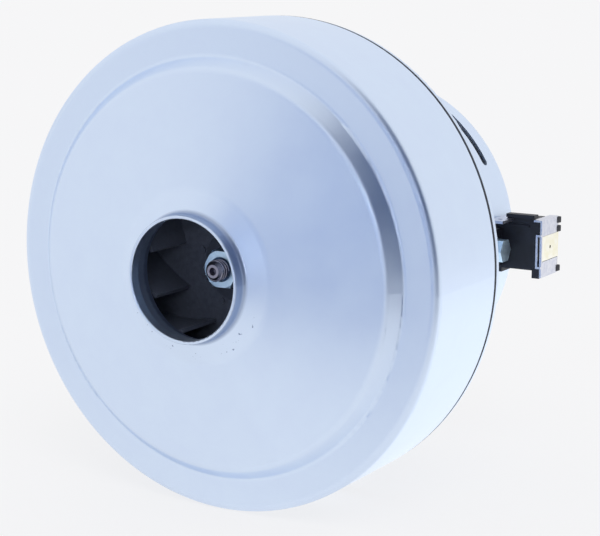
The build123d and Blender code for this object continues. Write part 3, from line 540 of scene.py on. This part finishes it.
# Windings: enamelled copper wire, 0.6 mm over its enamel, laid round the poles and packed round the
# rotor, with the red-brown gloss of its enamel.
WIRE_SPACING = 0.6 * MM
WIRE_DEPTH = 0.2 * MM
ENAMEL_PATCH = 3 * MM
copper_wire, shader, place = new_material(
    "enamelled_copper_wire", "#B5603A", metallic=1, roughness=0.3
)
turns = add_node(
    copper_wire,
    "ShaderNodeTexWave",
    {"Vector": place, "Scale": WAVE_REPEAT / WIRE_SPACING, "Distortion": 1.5, "Detail": 1.0},
    bands_direction="Z",
)
hue = add_node(
    copper_wire, "ShaderNodeTexNoise", {"Vector": place, "Scale": 1 / ENAMEL_PATCH, "Detail": 3.0}
)
enamel = add_node(
    copper_wire,
    "ShaderNodeValToRGB",
    {"Fac": hue.outputs["Fac"]},
    stops=((0.3, "#9C4A2A"), (0.7, "#C77147")),
)
relief = add_node(
    copper_wire,
    "ShaderNodeBump",
    {"Height": turns.outputs["Fac"], "Strength": 0.8, "Distance": WIRE_DEPTH},
)
feed(copper_wire, shader, Base_Color=enamel.outputs["Color"], Normal=relief.outputs["Normal"])
dress(copper_wire, "field_coil_upper", "field_coil_lower", "armature_winding")

# Coil insulators and shaft sleeve: moulded in natural nylon, cream and slightly waxy, with soft
# clouds where the plastic cooled unevenly.
WAX_CLOUD = 6 * MM
nylon, shader, place = new_material("natural_nylon", "#E4DFCB", metallic=0, roughness=0.42)
wax = add_node(
    nylon, "ShaderNodeTexNoise", {"Vector": place, "Scale": 1 / WAX_CLOUD, "Detail": 3.0}
)
cream = add_node(
    nylon,
    "ShaderNodeValToRGB",
    {"Fac": wax.outputs["Fac"]},
    stops=((0.3, "#DAD4BD"), (0.7, "#ECE8D8")),
)
feed(nylon, shader, Base_Color=cream.outputs["Color"])
dress(nylon, "coil_insulator_upper", "coil_insulator_lower", "shaft_sleeve")

# Commutator bars: hard copper, turned true on the shaft and then run in by the brushes, which
# leaves brown lines round it.
BRUSH_TRACK = 0.4 * MM
bar_copper, shader, place = new_material(
    "turned_hard_copper", "#D08A66", metallic=1, roughness=0.26
)
track = add_node(
    bar_copper,
    "ShaderNodeTexNoise",
    {"Vector": along_shaft(bar_copper, place), "Scale": 1 / BRUSH_TRACK, "Detail": 3.0},
)
browned = add_node(
    bar_copper,
    "ShaderNodeValToRGB",
    {"Fac": track.outputs["Fac"]},
    stops=((0.3, "#A9674A"), (0.7, "#D8936F")),
)
feed(bar_copper, shader, Base_Color=browned.outputs["Color"])
dress(bar_copper, "commutator_bars")

# Snap hooks: three small hooks moulded on the end of each brush holder, lapping the rear edge of
# its end plate to hold it. Each is a block with a lead-in slope and soft edges. The left ones are
# the right ones turned half round the shaft.
HOOK_SIZE = (1.2 * MM, 2.2 * MM, 1.9 * MM)
HOOK_HEIGHTS = (7.3 * MM, 4.7 * MM, -7.2 * MM)
HOOK_LAP = 1.0 * MM
HOOK_EDGE = 0.25 * MM
HOOK_EDGE_STEPS = 3
SLOPE_ACROSS = 0.2
SLOPE_ALONG = 0.8
SHARPEST_SMOOTHED = math.radians(40)
clip_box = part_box("holder_clip_right")
hook_out = clip_box[1].x
hook_along = clip_box[1].y - HOOK_LAP + HOOK_SIZE[1] / 2
for side, turn in (("right", 1), ("left", -1)):
    bpy.ops.object.select_all(action="DESELECT")
    hooks = []
    for height in HOOK_HEIGHTS:
        bpy.ops.mesh.primitive_cube_add(
            size=1, location=(turn * hook_out, hook_along, turn * height)
        )
        hook = bpy.context.object
        hook.scale = HOOK_SIZE
        bpy.ops.object.transform_apply(location=False, rotation=False, scale=True)
        for vertex in hook.data.vertices:
            if turn * vertex.co.x > 0 and vertex.co.y < 0:
                vertex.co.x *= SLOPE_ACROSS
                vertex.co.y *= SLOPE_ALONG
        bevel = hook.modifiers.new("edges", "BEVEL")
        bevel.width = HOOK_EDGE
        bevel.segments = HOOK_EDGE_STEPS
        bpy.ops.object.modifier_apply(modifier="edges")
        hooks.append(hook)
    for hook in hooks:
        hook.select_set(True)
    bpy.context.view_layer.objects.active = hooks[0]
    bpy.ops.object.join()
    hooks[0].name = f"plate_hooks_{side}"
    bpy.ops.object.transform_apply(location=True, rotation=True, scale=True)
    bpy.ops.object.shade_smooth_by_angle(angle=SHARPEST_SMOOTHED)
    hooks[0].data.materials.append(black_plastic)
    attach(hooks[0], "housing")

# Thread of the shaft's stud: an M6 thread rolled with a 1 mm pitch. The profile of its ridge is
# screwed round the shaft from the stud's chamfer to just inside the nut, and closed at both ends.
THREAD_PITCH = 1.0 * MM
THREAD_TURNS = 3
THREAD_STEPS = 40
RIDGE_HEIGHT = 0.32 * MM
RIDGE_WIDTH = 0.72 * MM
RIDGE_CORNERS = 8
STUD_RADIUS = 2.68 * MM
LAP_IN_NUT = 0.075 * MM
WELD = 0.001 * MM


def turned_profile(name, corners, width, place, stretch, **turning):
    """An oval profile at its place, turned round the shaft by the Screw modifier."""
    bpy.ops.object.select_all(action="DESELECT")
    bpy.ops.mesh.primitive_circle_add(
        vertices=corners, radius=width / 2, fill_type="NOTHING", location=place
    )
    made = bpy.context.object
    made.name = name
    bpy.ops.object.mode_set(mode="EDIT")
    bpy.ops.transform.resize(value=stretch)
    bpy.ops.object.mode_set(mode="OBJECT")
    bpy.ops.object.transform_apply(location=True, rotation=True, scale=True)
    screw = made.modifiers.new("turns", "SCREW")
    screw.axis = "Y"
    screw.angle = math.tau
    for setting, value in turning.items():
        setattr(screw, setting, value)
    bpy.ops.object.modifier_apply(modifier="turns")
    return made


thread_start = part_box("impeller_nut")[0].y + LAP_IN_NUT - THREAD_TURNS * THREAD_PITCH
thread = turned_profile(
    "stud_thread",
    RIDGE_CORNERS,
    RIDGE_WIDTH,
    (STUD_RADIUS, thread_start, 0),
    (2 * RIDGE_HEIGHT / RIDGE_WIDTH, 1, 1),
    screw_offset=THREAD_PITCH,
    iterations=THREAD_TURNS,
    steps=THREAD_STEPS,
    render_steps=THREAD_STEPS,
    use_normal_calculate=True,
)
bpy.ops.object.mode_set(mode="EDIT")
bpy.ops.mesh.select_all(action="SELECT")
bpy.ops.mesh.remove_doubles(threshold=WELD)
bpy.ops.mesh.select_all(action="DESELECT")
bpy.ops.mesh.select_non_manifold(
    extend=False, use_wire=False, use_multi_face=False, use_non_contiguous=False
)
bpy.ops.mesh.edge_face_add()
bpy.ops.mesh.select_all(action="SELECT")
bpy.ops.mesh.normals_make_consistent(inside=False)
bpy.ops.object.mode_set(mode="OBJECT")
bpy.ops.object.shade_smooth_by_angle(angle=SHARPEST_SMOOTHED)
thread.data.materials.append(shaft_steel)
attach(thread, "rotor")

# Joint between drum and rim: a dark bead in the gap, lapping the rim's front edge, shows as a dark
# line round the drum. Its near-black colour is painted shade, standing in for the shadow in the
# joint.
BEAD_RADIUS = 66.96 * MM
BEAD_HEIGHT = 1.0 * MM
BEAD_WIDTH = 1.9 * MM
BEAD_MARGIN = 0.02 * MM
BEAD_CORNERS = 12
BEAD_STEPS = 180
BEAD_MOTTLE = 3 * MM
bead_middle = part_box("fan_cover")[1].y + BEAD_MARGIN + BEAD_WIDTH / 2
bead = turned_profile(
    "joint_shadow_bead",
    BEAD_CORNERS,
    BEAD_HEIGHT,
    (BEAD_RADIUS, bead_middle, 0),
    (1, BEAD_WIDTH / BEAD_HEIGHT, 1),
    steps=BEAD_STEPS,
    render_steps=BEAD_STEPS,
    use_merge_vertices=True,
    merge_threshold=WELD,
)
bpy.ops.object.mode_set(mode="EDIT")
bpy.ops.mesh.select_all(action="SELECT")
bpy.ops.mesh.normals_make_consistent(inside=False)
bpy.ops.object.mode_set(mode="OBJECT")
bpy.ops.object.shade_smooth()
# The bead's near-black mottled colour is painted shade for the joint's shadow
joint_shade, shader, place = new_material(
    "painted_joint_shade", "#141B2C", metallic=0, roughness=0.6
)
bead_mottle = add_node(
    joint_shade, "ShaderNodeTexNoise", {"Vector": place, "Scale": 1 / BEAD_MOTTLE, "Detail": 3.0}
)
pressed = add_node(
    joint_shade,
    "ShaderNodeValToRGB",
    {"Fac": bead_mottle.outputs["Fac"]},
    stops=((0.3, "#0E1424"), (0.7, "#1E273A")),
)
feed(joint_shade, shader, Base_Color=pressed.outputs["Color"])
bead.data.materials.append(joint_shade)
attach(bead, "housing")

# Floor and backdrop: one pale matt sheet that the drum stands on, wide enough to fill every view.
# Most of what the camera sees of it is its plain colour, and the rest is lit and holds the shadow.
FLOOR_COLOUR = "#F7F7F8"
FLOOR_WIDTH = 60
SHARE_UNLIT = 0.8
floor_z = cad_box[0].z
bpy.ops.object.select_all(action="DESELECT")
bpy.ops.mesh.primitive_plane_add(size=FLOOR_WIDTH, location=(0, 0, floor_z))
floor = bpy.context.object
floor.name = "floor"
paper, shader, _ = new_material("pale_paper", FLOOR_COLOUR, metallic=0, roughness=0.9)
shader.inputs["Specular IOR Level"].default_value = 0
rays = add_node(paper, "ShaderNodeLightPath", {}).outputs
seen = add_node(
    paper,
    "ShaderNodeMath",
    {0: rays["Is Camera Ray"], 1: SHARE_UNLIT, 2: rays["Is Glossy Ray"]},
    operation="MULTIPLY_ADD",
)
seen = add_node(
    paper,
    "ShaderNodeMath",
    {0: seen.outputs[0], 1: rays["Is Transmission Ray"]},
    operation="MAXIMUM",
)
white = add_node(
    paper, "ShaderNodeEmission", {"Color": linear(FLOOR_COLOUR), "Strength": 1.0}
)
lit = add_node(
    paper,
    "ShaderNodeMixShader",
    {"Fac": seen.outputs[0], 1: shader.outputs[0], 2: white.outputs[0]},
)
paper_output = paper.node_tree.nodes["Material Output"]
paper.node_tree.links.new(lit.outputs[0], paper_output.inputs["Surface"])
floor.data.materials.append(paper)

# World: plain soft light from all sides, a little weaker on the object than it looks to the camera
# and in the metal.
SKY_AS_LIGHT = 0.9
SKY_AS_SEEN = 1.0
world = bpy.data.worlds.new("studio")
bpy.context.scene.world = world
world.use_nodes = True
sky = world.node_tree.nodes["Background"]
sky.inputs["Color"].default_value = linear(FLOOR_COLOUR)
rays = add_node(world, "ShaderNodeLightPath", {}).outputs
shown = add_node(
    world,
    "ShaderNodeMath",
    {0: rays["Is Camera Ray"], 1: rays["Is Glossy Ray"]},
    operation="MAXIMUM",
)
shown = add_node(
    world,
    "ShaderNodeMath",
    {0: shown.outputs[0], 1: rays["Is Transmission Ray"]},
    operation="MAXIMUM",
)
strength = add_node(
    world,
    "ShaderNodeMapRange",
    {"Value": shown.outputs[0], "To Min": SKY_AS_LIGHT, "To Max": SKY_AS_SEEN},
)
world.node_tree.links.new(strength.outputs["Result"], sky.inputs["Strength"])

# Lamps: a broad high one as the main light, which the metal doesn't mirror, and a narrow one near
# the inlet's axis that reaches the impeller through the collar.
MAIN_DIRECTION = Vector((-0.43, 0.49, -0.76))
MAIN_STRENGTH = 0.5
MAIN_SPREAD = math.radians(30)
INLET_LAMP_PLACE = Vector((0.2, -0.45, 0.12))
INLET_LAMP_TARGET = Vector((0, -0.015, 0))
INLET_LAMP_WATTS = 4.0
INLET_LAMP_CONE = math.radians(5)
INLET_LAMP_FADE = 0.4
INLET_LAMP_RADIUS = 0.05


def hang_lamp(name, kind, place, direction, **settings):
    """A lamp at its place, shining in its direction."""
    light = bpy.data.lights.new(name, kind)
    for setting, value in settings.items():
        setattr(light, setting, value)
    lamp = bpy.data.objects.new(name, light)
    bpy.context.scene.collection.objects.link(lamp)
    lamp.location = place
    lamp.rotation_euler = direction.to_track_quat("-Z", "Y").to_euler()
    return lamp


main_lamp = hang_lamp(
    "main", "SUN", (0, 0, 0), MAIN_DIRECTION, energy=MAIN_STRENGTH, angle=MAIN_SPREAD
)
main_lamp.visible_glossy = False
hang_lamp(
    "inlet",
    "SPOT",
    INLET_LAMP_PLACE,
    INLET_LAMP_TARGET - INLET_LAMP_PLACE,
    energy=INLET_LAMP_WATTS,
    spot_size=INLET_LAMP_CONE,
    spot_blend=INLET_LAMP_FADE,
    shadow_soft_size=INLET_LAMP_RADIUS,
)

# Cards: plain cards that only the metal sees, so that its curves show bands. Three are darker than
# the backdrop, and the one on the floor at the right is brighter. Each has its colour, strength,
# middle, the way it faces and its size.
SIDE_PLACE = (0.29, -0.16, 0.11)
FRONT_PLACE = (0.07, -0.5, 0.12)
UP = (0, 0, 1)
card_z = floor_z + MM
for name, colour, strength, middle, facing, size in (
    ("side_card", "#4A5A78", 1.0, SIDE_PLACE, SIDE_PLACE, (0.32, 0.56)),
    ("front_card", "#A9B9D8", 1.0, FRONT_PLACE, FRONT_PLACE, (0.46, 0.34)),
    ("floor_card", "#93A5C8", 1.0, (-0.02, -0.33, card_z), UP, (0.36, 0.26)),
    ("bright_card", "#FFFFFF", 1.18, (0.13, 0.18, card_z), UP, (0.3, 0.36)),
):
    bpy.ops.object.select_all(action="DESELECT")
    bpy.ops.mesh.primitive_plane_add(size=1, location=middle)
    card = bpy.context.object
    card.name = name
    card.rotation_euler = Vector(facing).to_track_quat("Z", "Y").to_euler()
    card.scale = (*size, 1)
    card.visible_camera = False
    card.visible_diffuse = False
    card.visible_shadow = False
    board, shader, _ = new_material(name, "#000000", metallic=0, roughness=1)
    shader.inputs["Specular IOR Level"].default_value = 0
    shader.inputs["Emission Color"].default_value = linear(colour)
    shader.inputs["Emission Strength"].default_value = strength
    card.data.materials.append(board)

# Camera: where the photograph was taken from, in millimetres, worked out from the drum's and the
# collar's circles, with the directions of the picture's right, its top and the way back from it.
CAMERA_PLACE = (246.05, -375.30, 82.07)
CAMERA_RIGHT = (0.8528, 0.5223, 0)
CAMERA_UP = (-0.0962, 0.1570, 0.9829)
CAMERA_BACK = (0.5134, -0.8382, 0.1842)
LENS_LENGTH = 97.85
FILM_WIDTH = 36
NEAREST_SEEN = 0.01
lens = bpy.data.cameras.new("photo_camera")
lens.sensor_width = FILM_WIDTH
lens.lens = LENS_LENGTH
lens.clip_start = NEAREST_SEEN
camera = bpy.data.objects.new("photo_camera", lens)
bpy.context.scene.collection.objects.link(camera)
turned = Matrix((CAMERA_RIGHT, CAMERA_UP, CAMERA_BACK)).transposed().to_4x4()
camera.matrix_world = Matrix.Translation(Vector(CAMERA_PLACE) * MM) @ turned
bpy.context.scene.camera = camera
bpy.context.scene.view_settings.view_transform = "Standard"
